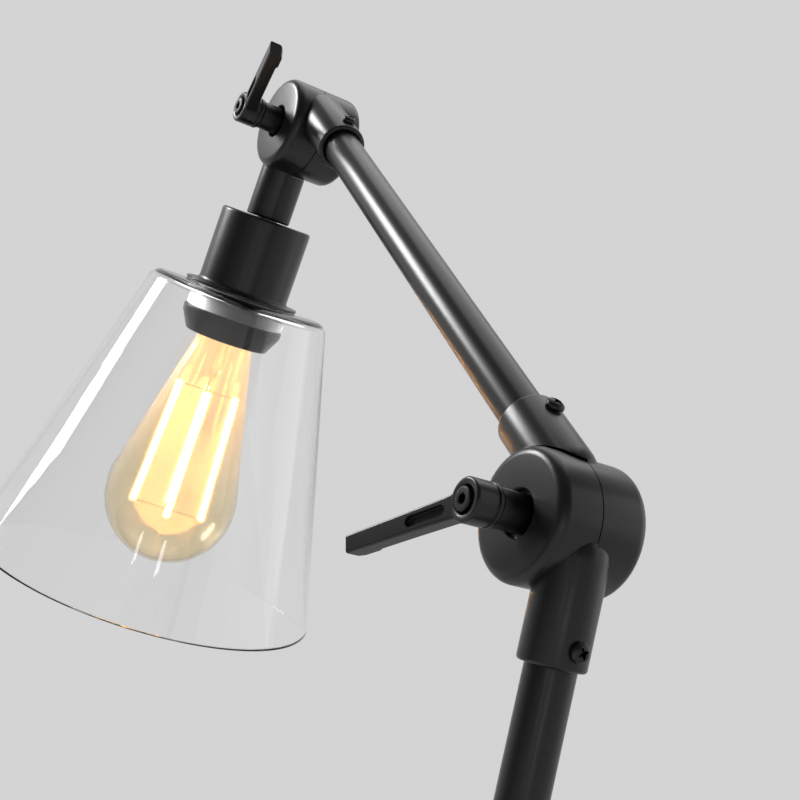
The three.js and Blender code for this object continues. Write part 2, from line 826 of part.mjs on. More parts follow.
// The moulded core that takes the thread shell, and carries the shade ring outside.
function holderCore() {
  const profile = [
    [0, coreTop],
    [coreRadius, coreTop],
    [coreRadius, coreBottom],
    [coreBore, coreBottom],
    [coreBore, coreFloor],
    [0, coreFloor],
  ];
  return piece('holder_core', solid(turnedZ(profile)), moulded);
}

function threadShell() {
  const outer = coreBore - GAP;
  const start = coreFloor + holder.shellDrop;
  const profile = sleeveProfile(outer - holder.shellWall, outer, start, start + holder.shellHeight);
  return piece('thread_shell', solid(turnedZ(profile)), brass);
}

function centreContact() {
  const profile = rod(holder.contactRadius, coreFloor + GAP, capTop - GAP);
  return piece('centre_contact', solid(turnedZ(profile, COARSE)), brass);
}

// The clear shade: a thick collar round the hole, a flat top, a tight round shoulder, a straight taper
// and a rounded mouth.
function glassShade() {
  const { wall, shoulderRadius, cornerRadius } = shade;
  const mouthRadius = SHADE_MOUTH_DIAMETER / 2;
  const bendZ = glassTop + cornerRadius;
  const taper = Math.atan2(mouthRadius - shoulderRadius, glassMouth - bendZ);
  const turn = degrees(taper);
  const bendR = shoulderRadius - cornerRadius * Math.cos(taper);
  const rimR = mouthRadius - wall / 2 * Math.cos(taper);
  const profile = [
    [holeRadius, glassTop],
    ...arc(bendR, bendZ, cornerRadius, -90, -turn),
    ...arc(rimR, glassMouth - wall / 2, wall / 2, -turn, 180 - turn),
    ...arc(bendR, bendZ, cornerRadius - wall, -turn, -90, 2),
    [collarRadius, glassTop + wall],
    [collarRadius, collarEnd],
    [holeRadius, collarEnd],
    [holeRadius, glassTop],
  ];
  return piece('glass_shade', solid(turnedZ(profile, FINE)), clearGlass);
}

// The ring that screws onto the core and holds the glass up against the brim.
function shadeRing() {
  const threadRadius = coreRadius + ring.threadClearance;
  const seatRadius = collarRadius + ring.seatOverhang;
  const mouthRadius = bulb.neckRadius + ring.mouthClearance;
  const ringBottom = ringTop + ring.height;
  const profile = [
    [threadRadius, ringTop],
    [seatRadius, ringTop],
    [seatRadius, ringTop + ring.seatHeight],
    [mouthRadius + ring.mouthWall, ringBottom],
    [mouthRadius, ringBottom],
    [mouthRadius, lipTop],
    [threadRadius, lipTop],
    [threadRadius, ringTop],
  ];
  return piece('shade_ring', solid(turnedZ(profile, FINE)), moulded);
}

// The screw cap, with the tip contact, the insulator's cone and rolled thread.
function bulbCap() {
  const { capRadius, contactRadius, insulatorHeight, threadPitch, threadTurns } = bulb;
  const capRoot = capRadius - bulb.threadDepth;
  const points = [[0, capTop], [contactRadius, capTop], [capRoot, capTop + insulatorHeight]];
  for (let i = 0; i < threadTurns; i += 1) {
    const start = capTop + insulatorHeight + i * threadPitch;
    points.push([capRadius, start + threadPitch / 2]);
    points.push([capRoot, start + threadPitch]);
  }
  points.push([capRoot, capBottom], [0, capBottom]);
  return piece('bulb_cap', solid(turnedZ(points)), brass);
}

// One side of the glass bulb: a short neck, then a cone that runs tangent into the ball.
function bulbProfile(neckRadius, ballRadius) {
  const neckEnd = glassStart + bulb.neckLength;
  const drop = ballCentre - neckEnd;
  const distance = Math.hypot(neckRadius, drop);
  const start = degrees(Math.acos(ballRadius / distance) - Math.atan2(drop, neckRadius));
  return [[neckRadius, glassStart], [neckRadius, neckEnd], ...arc(0, ballCentre, ballRadius, start, 90, 7)];
}

function bulbGlass() {
  const outer = bulbProfile(bulb.neckRadius, BULB_DIAMETER / 2);
  const inner = bulbProfile(bulb.neckRadius - bulb.wall, BULB_DIAMETER / 2 - bulb.wall);
  return piece('bulb_glass', solid(turnedZ([...outer, ...inner.reverse(), outer[0]], ROUND)), amberGlass);
}

const filamentStart = glassStart + bulb.filamentTop;
const filamentLean = Math.asin((bulb.filamentEndCircle - bulb.filamentTopCircle) / bulb.filamentLength);

function filamentCircle(height) {
  return bulb.filamentTopCircle + height * Math.sin(filamentLean);
}

function filamentAngle(index) {
  return radians(bulb.filamentTurn + 360 * index / bulb.filaments);
}

// The glass mount inside the bulb, with a post and the wires that hold the filaments' ends.
function bulbMount() {
  const { flareHeight, stemRadius, stemLength, postRadius, armInset } = bulb;
  const flareRadius = bulb.neckRadius - bulb.wall - bulb.flareClearance;
  const end = filamentStart + bulb.filamentLength;
  let body = solid(turnedZ([
    [0, glassStart + GAP],
    [flareRadius, glassStart + GAP],
    [stemRadius, glassStart + flareHeight],
    [stemRadius, glassStart + stemLength],
    [postRadius, glassStart + stemLength + stemRadius],
    [postRadius, end],
    [0, end],
  ], COARSE));
  for (let i = 0; i < bulb.filaments; i += 1) {
    for (const height of [armInset, bulb.filamentLength - armInset]) {
      const reach = filamentCircle(height) - bulb.filamentRadius - GAP;
      const arm = turnedX(rod(bulb.armRadius, 0, reach), HEXAGON);
      body = body.add(solid(arm.rotateZ(filamentAngle(i)).translate(0, 0, filamentStart + height)));
    }
  }
  return piece('bulb_mount', body, clearGlass);
}

function filament(index) {
  const geometry = turnedZ(rod(bulb.filamentRadius, 0, bulb.filamentLength), COARSE)
    .rotateY(filamentLean)
    .translate(bulb.filamentTopCircle, 0, filamentStart)
    .rotateZ(filamentAngle(index));
  return piece(`filament_${index + 1}`, solid(geometry), glow);
}

function filaments() {
  return Array.from({ length: bulb.filaments }, (_, index) => filament(index));
}

// An arm's tube, drilled at both ends for the screws of the sleeves that hold it.
// It lies beside the pivot on the side given, and its first hole faces that side too.
function armTube(name, { pivot, lean, side, first, last }) {
  const start = pivot.clone()
    .addScaledVector(along(lean), tubeStart)
    .addScaledVector(across(lean), side * sleeveShift);
  const holes = [
    { height: first.screwAt - tubeStart, side },
    { height: ARM_LENGTH - last.screwAt - tubeStart, side: 1 },
  ];
  return placed(start, lean, tube(name, ARM_LENGTH - 2 * tubeStart, holes));
}

const neckAxis = headPivot.clone().addScaledVector(across(NECK_LEAN), knuckle.neckOffset);

const lamp = new THREE.Group();

lamp.add(
  basePad(),
  baseWeight(),
  baseCover(),
  stemWasher(),
  hexNut('stem_nut', stemHole + stemNut.cornerReach, stemHole, nutTop - stemNut.height, stemNut.height),
  stemTube(),
  cableGrommet(),
  switchParts(),
);

lamp.add(
  placed(
    basePivot,
    180,
    casting('base_knuckle_rear', { rear: true, side: 1, sleeve: sleeves.rear }),
    tubeScrew('stem_screw', 1, sleeves.rear),
    frictionWasher('base_friction_washer'),
  ),
  placed(
    basePivot,
    LOWER_LEAN,
    casting('base_knuckle_front', { rear: false, side: -1, sleeve: sleeves.front }),
    tubeScrew('lower_tube_screw_1', -1, sleeves.front),
  ),
  placed(basePivot, BASE_LEVER_LEAN, ...clamp('base')),
  armTube('lower_tube', {
    pivot: basePivot,
    lean: LOWER_LEAN,
    side: -1,
    first: sleeves.front,
    last: sleeves.front,
  }),
);

lamp.add(
  placed(
    elbowPivot,
    LOWER_LEAN + 180,
    casting('elbow_knuckle_front', { rear: false, side: -1, sleeve: sleeves.front }),
    tubeScrew('lower_tube_screw_2', -1, sleeves.front),
  ),
  placed(
    elbowPivot,
    UPPER_LEAN,
    casting('elbow_knuckle_rear', { rear: true, side: 1, sleeve: sleeves.rear }),
    tubeScrew('upper_tube_screw_1', 1, sleeves.rear),
    frictionWasher('elbow_friction_washer'),
  ),
  placed(elbowPivot, ELBOW_LEVER_LEAN, ...clamp('elbow')),
  armTube('upper_tube', {
    pivot: elbowPivot,
    lean: UPPER_LEAN,
    side: 1,
    first: sleeves.rear,
    last: sleeves.head,
  }),
);

lamp.add(
  placed(
    headPivot,
    UPPER_LEAN + 180,
    casting('head_knuckle_rear', { rear: true, side: -1, sleeve: sleeves.head }),
    tubeScrew('upper_tube_screw_2', -1, sleeves.head),
    frictionWasher('head_friction_washer'),
  ),
  placed(
    headPivot,
    NECK_LEAN,
    casting('head_knuckle_front', {
      rear: false,
      side: 1,
      sleeve: sleeves.head,
      offset: knuckle.neckOffset,
      socket: nippleSocket,
      screwed: false,
    }),
  ),
  placed(headPivot, HEAD_LEVER_LEAN, ...clamp('head')),
);

lamp.add(placed(
  neckAxis,
  NECK_LEAN,
  neckNipple(),
  neckNut(),
  holderCup(),
  holderCore(),
  threadShell(),
  centreContact(),
  glassShade(),
  shadeRing(),
  bulbCap(),
  bulbGlass(),
  bulbMount(),
  ...filaments(),
));

export default lamp;
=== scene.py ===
"""A desk lamp with two swing arms, three clamped knuckles and a clear glass shade.

Sizes are in millimetres and angles in degrees until a piece is put in its place, which is in metres.
"""

import json
import math

import bmesh
import bpy
from mathutils import Matrix, Vector


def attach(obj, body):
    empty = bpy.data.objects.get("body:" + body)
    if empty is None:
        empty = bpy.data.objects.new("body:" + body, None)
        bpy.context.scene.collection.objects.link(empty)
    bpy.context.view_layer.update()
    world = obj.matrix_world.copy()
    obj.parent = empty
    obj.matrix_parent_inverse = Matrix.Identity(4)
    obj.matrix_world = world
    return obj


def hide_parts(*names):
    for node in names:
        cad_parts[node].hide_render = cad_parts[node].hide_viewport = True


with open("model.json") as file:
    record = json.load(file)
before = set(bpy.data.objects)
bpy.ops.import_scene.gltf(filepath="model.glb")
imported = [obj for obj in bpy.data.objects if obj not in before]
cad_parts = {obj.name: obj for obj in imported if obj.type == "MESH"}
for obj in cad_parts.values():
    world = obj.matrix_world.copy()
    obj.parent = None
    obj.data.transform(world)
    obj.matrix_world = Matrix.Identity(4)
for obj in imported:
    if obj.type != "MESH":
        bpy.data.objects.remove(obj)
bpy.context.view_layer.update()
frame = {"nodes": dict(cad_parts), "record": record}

# How the lamp stands: leans from straight up, positive towards +X

LOWER_LEAN = 23.7
UPPER_LEAN = -33.4
NECK_LEAN = -143.2
LEVER_LEANS = {"base": -50, "elbow": -92, "head": 94.5}
ARM_LENGTH = 297
BASE_PIVOT_HEIGHT = 60.8
SLEEVE_SHIFT = 12
NECK_SHIFT = 8

METRE = 0.001
STEPS = 96
SMALL_STEPS = 48
LARGE_STEPS = 160
OVERRUN = 1


def along(lean):
    """The direction that leans from straight up towards +X."""
    return Vector((math.sin(math.radians(lean)), 0, math.cos(math.radians(lean))))


def across(lean):
    """The direction to the right of that one."""
    return Vector((math.cos(math.radians(lean)), 0, -math.sin(math.radians(lean))))


BASE_PIVOT = Vector((SLEEVE_SHIFT, 0, BASE_PIVOT_HEIGHT))
ELBOW_PIVOT = BASE_PIVOT + along(LOWER_LEAN) * ARM_LENGTH - across(LOWER_LEAN) * 2 * SLEEVE_SHIFT
HEAD_PIVOT = ELBOW_PIVOT + along(UPPER_LEAN) * ARM_LENGTH
PIVOTS = {"base": BASE_PIVOT, "elbow": ELBOW_PIVOT, "head": HEAD_PIVOT}


def place(point, lean):
    """Turns a form's Z axis to a lean and moves its origin to a point."""
    return Matrix.Translation(point) @ Matrix.Rotation(math.radians(lean), 4, "Y")


TO_FRONT = Matrix.Rotation(math.radians(90), 4, "X")
TO_BACK = Matrix.Rotation(math.radians(-90), 4, "X")
TO_RIGHT = Matrix.Rotation(math.radians(90), 4, "Y")
TO_LEFT = Matrix.Rotation(math.radians(-90), 4, "Y")
WHERE_IT_IS = Matrix.Identity(4)
NECK = place(HEAD_PIVOT + across(NECK_LEAN) * NECK_SHIFT, NECK_LEAN)


# Shader sums

class Value:
    """A socket with a number, so that shader sums read as sums."""

    def __init__(self, finish, socket):
        self.finish = finish
        self.socket = socket

    def sum(self, operation, *numbers):
        return self.finish.node("ShaderNodeMath", {"operation": operation}, dict(enumerate(numbers)))

    def __add__(self, other):
        return self.sum("ADD", self, other)

    def __sub__(self, other):
        return self.sum("SUBTRACT", self, other)

    def __rsub__(self, other):
        return self.sum("SUBTRACT", other, self)

    def __mul__(self, other):
        return self.sum("MULTIPLY", self, other)

    __radd__ = __add__


class Shading:
    """Shader nodes that are added one by one."""

    def __init__(self, tree, shader=None):
        self.tree = tree
        self.shader = shader

    def set(self, socket, value, node=None):
        """Puts a number, a colour or a link into a socket."""
        target = (node or self.shader).inputs[socket]
        if isinstance(value, Value):
            self.tree.links.new(value.socket, target)
        else:
            target.default_value = value

    def node(self, kind, settings, values, output=0):
        """Adds a node of this type, with its settings made first and then its sockets."""
        made = self.tree.nodes.new(kind)
        for name, value in settings.items():
            setattr(made, name, value)
        for socket, value in values.items():
            self.set(socket, value, made)
        return Value(self, made.outputs[output])

    def where(self):
        return self.node("ShaderNodeTexCoord", {}, {}, "Object")

    def noise(self, scale, detail=2.0, roughness=0.5):
        return self.node("ShaderNodeTexNoise", {}, {
            "Vector": self.where(),
            "Scale": scale,
            "Detail": detail,
            "Roughness": roughness,
        })

    def between(self, value, low, high):
        """0 below low, 1 above high, smooth in between."""
        return self.node("ShaderNodeMapRange", {"interpolation_type": "SMOOTHSTEP"}, {
            "Value": value,
            "From Min": low,
            "From Max": high,
        })

    def mix(self, share, first, second):
        """A colour between two colours."""
        return self.node("ShaderNodeMix", {"data_type": "RGBA"}, {0: share, 6: first, 7: second}, 2)

    def lean_towards(self, vector, direction):
        """How far a vector points along a direction."""
        sides = {0: vector, 1: direction}
        return self.node("ShaderNodeVectorMath", {"operation": "DOT_PRODUCT"}, sides, "Value")


class Finish(Shading):
    """A material with one main shader."""

    def __init__(self, name, colour, roughness, **settings):
        self.material = bpy.data.materials.new(name)
        self.material.use_nodes = True
        tree = self.material.node_tree
        super().__init__(tree, tree.nodes["Principled BSDF"])
        self.set("Base Color", (*colour, 1))
        self.set("Roughness", roughness)
        for socket, value in settings.items():
            self.set(socket.replace("_", " ").title().replace("Ior", "IOR"), value)

    def bump(self, height, strength, distance):
        self.set("Normal", self.node("ShaderNodeBump", {}, {
            "Height": height,
            "Strength": strength,
            "Distance": distance,
        }))


def powder_coat(name, colour, grain):
    """Satin powder coat: a fine grain with a few lighter flecks, and broad soft highlights."""
    coat = Finish(name, colour, 0.36, specular_ior_level=0.45)
    fine = coat.noise(grain, 3.0, 0.6)
    peel = coat.noise(grain * 0.22, 2.0)
    patches = coat.noise(35.0, 3.0)
    flecks = coat.between(coat.noise(grain * 1.7, 1.0), 0.62, 0.74)
    dark = (*[c * 0.82 for c in colour], 1)
    light = (*[c * 1.3 for c in colour], 1)
    fleck = (*[c * 4 for c in colour], 1)
    coat.set("Base Color", coat.mix(flecks * 0.55, coat.mix(patches, dark, light), fleck))
    coat.set("Roughness", 0.23 + patches * 0.05 + fine * 0.1)
    coat.bump(fine * 0.5 + peel * 0.5, 0.25, 0.00004)
    return coat.material


def metal(name, colour, roughness, grain, scratch=0.08):
    """Bare or oxidised metal with a slightly uneven sheen."""
    steel = Finish(name, colour, roughness, metallic=1.0)
    fine = steel.noise(grain, 4.0, 0.6)
    stains = steel.noise(120.0, 3.0)
    dark = (*[c * 0.75 for c in colour], 1)
    light = (*[min(1, c * 1.15) for c in colour], 1)
    steel.set("Base Color", steel.mix(stains, dark, light))
    steel.set("Roughness", roughness - scratch / 2 + fine * scratch + stains * 0.06)
    steel.bump(fine, 0.15, 0.00004)
    return steel.material


def dull(name, colour, roughness, grain, height=0.0001, strength=0.4):
    """Rubber, foam, fibre, cast iron or a moulding, by its grain and how rough it is."""
    stuff = Finish(name, colour, roughness)
    fine = stuff.noise(grain, 4.0, 0.65)
    broad = stuff.noise(60.0, 2.0)
    dark = (*[c * 0.7 for c in colour], 1)
    light = (*[min(1, c * 1.35) for c in colour], 1)
    stuff.set("Base Color", stuff.mix(fine * 0.6 + broad * 0.4, dark, light))
    stuff.set("Roughness", roughness - 0.05 + fine * 0.1)
    stuff.bump(fine, strength, height)
    return stuff.material


def let_lamps_through(glass, tint):
    """Rays on their way to a lamp pass through the glass, so that what is behind it is lit."""
    to_lamp = glass.node("ShaderNodeLightPath", {}, {}, "Is Shadow Ray")
    clear = glass.node("ShaderNodeBsdfTransparent", {}, {"Color": (*tint, 1)})
    mixed = glass.node("ShaderNodeMixShader", {}, {
        0: to_lamp,
        1: Value(glass, glass.shader.outputs[0]),
        2: clear,
    })
    glass.set("Surface", mixed, glass.tree.nodes["Material Output"])


def from_neck(glass, direction):
    """How far a point is from the start of the neck along a direction, in metres."""
    return glass.lean_towards(glass.where(), direction) - (NECK.translation * METRE).dot(direction)


def on_collar(glass):
    """1 on the short collar that the shade hangs by, 0 on the rest of it."""
    depth = from_neck(glass, along(NECK_LEAN))
    aside = from_neck(glass, across(NECK_LEAN))
    back = from_neck(glass, Vector((0, 1, 0)))
    below_top = glass.between(depth, 0.084, 0.086)
    past_end = glass.between(depth, 0.0945, 0.0955)
    outside = glass.between(aside * aside + back * back, 0.0006, 0.0008)
    return below_top * (1 - past_end) * (1 - outside)


def blown_glass(name, colour):
    """Clear glass with faint waves from blowing, dust in its gloss and a ground collar."""
    glass = Finish(name, colour, 0.0, transmission_weight=1.0, ior=1.47)
    waves = glass.noise(14.0, 1.0)
    dust = glass.between(glass.noise(220.0, 5.0, 0.7), 0.62, 0.85)
    glass.set("Roughness", dust * 0.06 + on_collar(glass) * 0.55)
    glass.bump(waves, 0.12, 0.0012)
    let_lamps_through(glass, colour)
    return glass.material


def amber_glass_painted_glow(name, colour):
    """Gold-tinted glass with a painted glow: its emission colour is brightest in the neck and fades out
    down past the filaments.
    """
    glass = Finish(name, colour, 0.1, transmission_weight=1.0, ior=1.47, emission_strength=0.2)
    # Painted glow: the glass itself emits, strongest in the neck and fading with depth along the neck's
    # axis
    painted_glow_fade = 1 - glass.between(from_neck(glass, along(NECK_LEAN)), 0.1, 0.19)
    waves = glass.noise(30.0, 1.0)
    # The faint and bright emission colours of the painted glow
    faint, bright = (0.06, 0.035, 0.01, 1), (1.0, 0.5, 0.16, 1)
    glass.set("Emission Color", glass.mix(painted_glow_fade * (0.8 + waves * 0.4), faint, bright))
    glass.bump(waves, 0.08, 0.001)
    let_lamps_through(glass, colour)
    return glass.material


def phosphor(name):
    """The yellow coat of a filament that is lit."""
    coat = Finish(name, (0.9, 0.62, 0.16), 0.6, emission_strength=18.0)
    grain = coat.noise(900.0, 2.0)
    coat.set("Emission Color", coat.mix(grain, (1.0, 0.42, 0.1, 1), (1.0, 0.5, 0.14, 1)))
    return coat.material


finishes = {
    "paint": powder_coat("satin black on tube and sheet", (0.0062, 0.0062, 0.0065), 1500.0),
    "cast_paint": powder_coat("satin black on castings", (0.0066, 0.0066, 0.007), 1150.0),
    "lever_paint": powder_coat("satin black on levers", (0.0062, 0.0062, 0.0066), 1350.0),
    "black_steel": metal("black oxide on steel", (0.045, 0.045, 0.048), 0.34, 900.0),
    "zinc": metal("bright zinc plate", (0.62, 0.63, 0.65), 0.28, 700.0),
    "brass": metal("dulled brass", (0.62, 0.43, 0.16), 0.3, 500.0),
    "iron": dull("rough cast iron", (0.05, 0.048, 0.045), 0.75, 420.0, 0.0003),
    "pad": dull("black foam pad", (0.02, 0.02, 0.021), 0.95, 1200.0, 0.0002, 0.7),
    "rubber": dull("black rubber", (0.016, 0.016, 0.017), 0.78, 800.0),
    "fibre": dull("pressed fibre", (0.06, 0.05, 0.042), 0.9, 600.0, 0.0002),
    "moulded": dull("black phenolic moulding", (0.006, 0.006, 0.006), 0.25, 350.0, 0.00003, 0.08),
    "clear_glass": blown_glass("clear blown glass", (0.985, 0.99, 0.99)),
    # The bulb's glass carries a painted glow in its emission
    "amber_glass": amber_glass_painted_glow("gold tinted glass", (0.89, 0.83, 0.68)),
    "filament": phosphor("lit phosphor"),
}


# Forming: each form is a bmesh in millimetres

def turned(outline, steps=STEPS):
    """A form turned about Z from points (radius, height) or (radius, height, rounding)."""
    form = bmesh.new()
    points = [form.verts.new((point[0], 0, point[1])) for point in outline]
    for pair in zip(points, points[1:]):
        form.edges.new(pair)
    if outline[0][0] or outline[-1][0]:
        form.edges.new((points[-1], points[0]))
    for point, (_, _, *rounding) in zip(points, outline):
        if rounding:
            bmesh.ops.bevel(form, geom=[point], offset=rounding[0], offset_type="OFFSET", segments=6,
                            profile=0.5, affect="VERTICES", material=-1)
    bmesh.ops.spin(form, geom=form.verts[:] + form.edges[:], cent=(0, 0, 0), axis=(0, 0, 1),
                   angle=math.tau, steps=steps, use_merge=True)
    bmesh.ops.remove_doubles(form, verts=form.verts, dist=1e-4)
    bmesh.ops.recalc_face_normals(form, faces=form.faces)
    return form


def rod(radius, start, end, rounding=0.0, steps=SMALL_STEPS):
    """A plain round bar along Z, with both ends rounded if asked."""
    edge = (rounding,) if rounding else ()
    return turned([(0, start), (radius, start, *edge), (radius, end, *edge), (0, end)], steps)


def pipe(inner, outer, start, end, rounding=0.3, steps=STEPS):
    """A round tube along Z with rounded ends."""
    corners = [(inner, start), (outer, start), (outer, end), (inner, end)]
    return turned([(*corner, rounding) for corner in corners], steps)


def prism(corners, height, radius, start, turn=0.0):
    """A regular prism along Z."""
    form = bmesh.new()
    bmesh.ops.create_cone(form, cap_ends=True, segments=corners, radius1=radius, radius2=radius,
                          depth=height)
    bmesh.ops.rotate(form, verts=form.verts, cent=(0, 0, 0),
                     matrix=Matrix.Rotation(math.radians(turn), 3, "Z"))
    bmesh.ops.translate(form, verts=form.verts, vec=(0, 0, start + height / 2))
    return form


def block(wide, deep, high, centre):
    """A plain box, for cutting with."""
    form = bmesh.new()
    bmesh.ops.create_cube(form, size=1)
    bmesh.ops.scale(form, verts=form.verts, vec=(wide, deep, high))
    bmesh.ops.translate(form, verts=form.verts, vec=centre)
    return form


def moved(form, matrix):
    """The same form, turned and moved."""
    bmesh.ops.transform(form, matrix=matrix, verts=form.verts)
    return form


def worked(form, tool, how):
    """A form with a tool added to it or cut out of it."""
    holders = []
    for each in (form, tool):
        mesh = bpy.data.meshes.new("blank")
        each.to_mesh(mesh)
        each.free()
        holders.append(bpy.data.objects.new("blank", mesh))
        bpy.context.scene.collection.objects.link(holders[-1])
    step = holders[0].modifiers.new("work", "BOOLEAN")
    step.operation = how
    step.solver = "EXACT"
    step.object = holders[1]
    result = bmesh.new()
    result.from_object(holders[0], bpy.context.evaluated_depsgraph_get())
    for holder in holders:
        mesh = holder.data
        bpy.data.objects.remove(holder)
        bpy.data.meshes.remove(mesh)
    return result


def fused(form, *tools):
    """A form with other forms added to it."""
    for tool in tools:
        form = worked(form, tool, "UNION")
    return form


def cut(form, *tools):
    """A form with other forms cut out of it."""
    for tool in tools:
        form = worked(form, tool, "DIFFERENCE")
    return form


def piece(name, form, where, body, slot, nodes=(), softened=0.0, crease=32):
    """Puts a form in its place as a piece of the lamp, which stands for CAD nodes of that body."""
    bmesh.ops.remove_doubles(form, verts=form.verts, dist=1e-4)
    bmesh.ops.transform(form, matrix=Matrix.Scale(METRE, 4) @ where, verts=form.verts)
    mesh = bpy.data.meshes.new(name)
    form.to_mesh(mesh)
    form.free()
    mesh.shade_smooth()
    mesh.set_sharp_from_angle(angle=math.radians(crease))
    mesh.materials.append(finishes[slot])
    made = bpy.data.objects.new(name, mesh)
    bpy.context.scene.collection.objects.link(made)
    if softened:
        edges = made.modifiers.new("softened edges", "BEVEL")
        edges.width = softened * METRE
        edges.segments = 2
        edges.limit_method = "ANGLE"
        edges.angle_limit = math.radians(crease)
        edges.harden_normals = True
    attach(made, body)
    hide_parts(*nodes)
    return made


# The knuckles: two halves, each a little way from the plane between them

PARTING_GAP = 0.2
KNUCKLE_RADIUS = 21.2
REAR_HALF = (19.2, 4.5)
FRONT_HALF = (15.2, 3.5)
SLEEVE_RADIUS = 10.6
SLEEVE_DIP = 1.3
SCREW_HOLE = 1.9
STUD_BORE = 3.3
REAR_BORE_DEPTH = 15
FRONT_BORE_DEPTH = 13
LEVER_RECESS = (7.6, 12.2)

# Inner radius, outer radius and depth
WASHER_POCKET = (6.2, 15.3, 1.5)

# A socket's radius and floor, and a sleeve's length with the place of its screw
TUBE_SOCKET = (8.3, 24)
NIPPLE_SOCKET = (5.2, 30.7)
FRONT_SLEEVE = (41.3, 35.2)
REAR_SLEEVE = (38, 30.6)
HEAD_SLEEVE = (44.5, 38)


def knuckle_sleeve(length):
    """The round sleeve that a tube goes into, with a domed start beside the pivot."""
    return turned([
        (0, -SLEEVE_DIP), (SLEEVE_RADIUS, -SLEEVE_DIP, SLEEVE_RADIUS - 0.1), (SLEEVE_RADIUS, length, 1.2),
        (0, length),
    ])


def socket_bore(radius, bottom, length):
    """What a tube's socket takes out of a sleeve, with a chamfer at its mouth."""
    mouth = radius + 0.6
    return turned([
        (0, bottom), (radius, bottom), (radius, length - 0.5), (mouth, length + 0.1), (mouth, length + 3),
        (0, length + 3),
    ])


def lever_recess(depth):
    """What the lever's recess takes out of the front of a knuckle."""
    radius, bottom = LEVER_RECESS
    return turned([
        (0, bottom), (radius, bottom, 0.4), (radius, depth - 0.4), (radius + 0.5, depth + 0.1),
        (0, depth + 0.1),
    ])


def casting(name, body, joint, lean, rear, side, sleeve,
            shift=SLEEVE_SHIFT, socket=TUBE_SOCKET, screwed=True):
    """One half of a knuckle with the sleeve that it is cast in one with."""
    length, screw_at = sleeve
    depth, edge = REAR_HALF if rear else FRONT_HALF
    to_hand, to_other = (TO_BACK, TO_FRONT) if rear else (TO_FRONT, TO_BACK)
    beside = Matrix.Translation((side * shift, 0, 0))
    hub = turned([(0, -2), (KNUCKLE_RADIUS, -2), (KNUCKLE_RADIUS, depth, edge), (0, depth)])
    other_half = rod(KNUCKLE_RADIUS + 0.8, -PARTING_GAP, 14, steps=STEPS)
    form = fused(moved(hub, to_hand), moved(knuckle_sleeve(length), beside))
    form = cut(form, moved(other_half, to_other), moved(socket_bore(*socket, length), beside))
    if screwed:
        screw_hole = moved(rod(SCREW_HOLE, 5, 13), TO_RIGHT if side > 0 else TO_LEFT)
        form = cut(form, moved(screw_hole, Matrix.Translation((side * shift, 0, screw_at))))
    if not rear:
        form = cut(form, moved(lever_recess(depth), to_hand))
    stud_bore = rod(STUD_BORE, -OVERRUN, REAR_BORE_DEPTH if rear else FRONT_BORE_DEPTH)
    inner, outer, pocket_depth = WASHER_POCKET
    washer_pocket = pipe(inner, outer, -OVERRUN, pocket_depth, 0)
    form = cut(form, moved(stud_bore, to_hand), moved(washer_pocket, to_hand))
    return piece(name, form, place(PIVOTS[joint], lean), body, "cast_paint", [name], 0.28)


casting("base_knuckle_rear", "base", "base", 180, True, 1, REAR_SLEEVE)
casting("base_knuckle_front", "lower_arm", "base", LOWER_LEAN, False, -1, FRONT_SLEEVE)
casting("elbow_knuckle_front", "lower_arm", "elbow", LOWER_LEAN + 180, False, -1, FRONT_SLEEVE)
casting("elbow_knuckle_rear", "upper_arm", "elbow", UPPER_LEAN, True, 1, REAR_SLEEVE)
casting("head_knuckle_rear", "upper_arm", "head", UPPER_LEAN + 180, True, -1, HEAD_SLEEVE)
casting("head_knuckle_front", "head", "head", NECK_LEAN, False, 1, HEAD_SLEEVE,
        NECK_SHIFT, NIPPLE_SOCKET, False)

SCREW_SEAT = 10.9
SCREW_TURN = 27


def tube_screw(name, body, joint, lean, side, sleeve):
    """A pan-head screw with a cross recess, on the outer side of a sleeve."""
    seat = SCREW_SEAT
    form = turned([
        (0, seat - 6), (1.6, seat - 6, 0.3), (1.6, seat), (3.2, seat, 0.2), (3.2, seat + 0.9, 0.3),
        (2.85, seat + 1.5, 0.3), (2.0, seat + 2.0, 0.4), (0.9, seat + 2.2), (0, seat + 2.22),
    ], SMALL_STEPS)
    slots = [block(*size, (0, 0, seat + 2)) for size in ((3.6, 0.85, 2.2), (0.85, 3.6, 2.2))]
    form = cut(form, *slots, prism(4, 1.6, 1.25, seat + 0.7, 45))
    outward = TO_RIGHT if side > 0 else TO_LEFT
    turn = Matrix.Rotation(math.radians(SCREW_TURN), 4, "Z")
    spot = Matrix.Translation((side * SLEEVE_SHIFT, 0, sleeve[1]))
    where = place(PIVOTS[joint], lean) @ spot @ outward @ turn
    return piece(name, form, where, body, "black_steel", [name], 0.08)


tube_screw("stem_screw", "base", "base", 180, 1, REAR_SLEEVE)
tube_screw("lower_tube_screw_1", "lower_arm", "base", LOWER_LEAN, -1, FRONT_SLEEVE)
tube_screw("lower_tube_screw_2", "lower_arm", "elbow", LOWER_LEAN + 180, -1, FRONT_SLEEVE)
tube_screw("upper_tube_screw_1", "upper_arm", "elbow", UPPER_LEAN, 1, REAR_SLEEVE)
tube_screw("upper_tube_screw_2", "upper_arm", "head", UPPER_LEAN + 180, -1, HEAD_SLEEVE)

TUBE_BORE = 6.8
TUBE_RADIUS = 8
TUBE_START = 24.3


def arm_tube(name, body, joint, lean, side):
    """A steel tube between two sleeves."""
    start = PIVOTS[joint] + along(lean) * TUBE_START + across(lean) * side * SLEEVE_SHIFT
    form = pipe(TUBE_BORE, TUBE_RADIUS, 0, ARM_LENGTH - 2 * TUBE_START)
    return piece(name, form, place(start, lean), body, "paint", [name])


arm_tube("lower_tube", "lower_arm", "base", LOWER_LEAN, -1)
arm_tube("upper_tube", "upper_arm", "elbow", UPPER_LEAN, 1)


# The clamping levers, measured forward from the parting plane

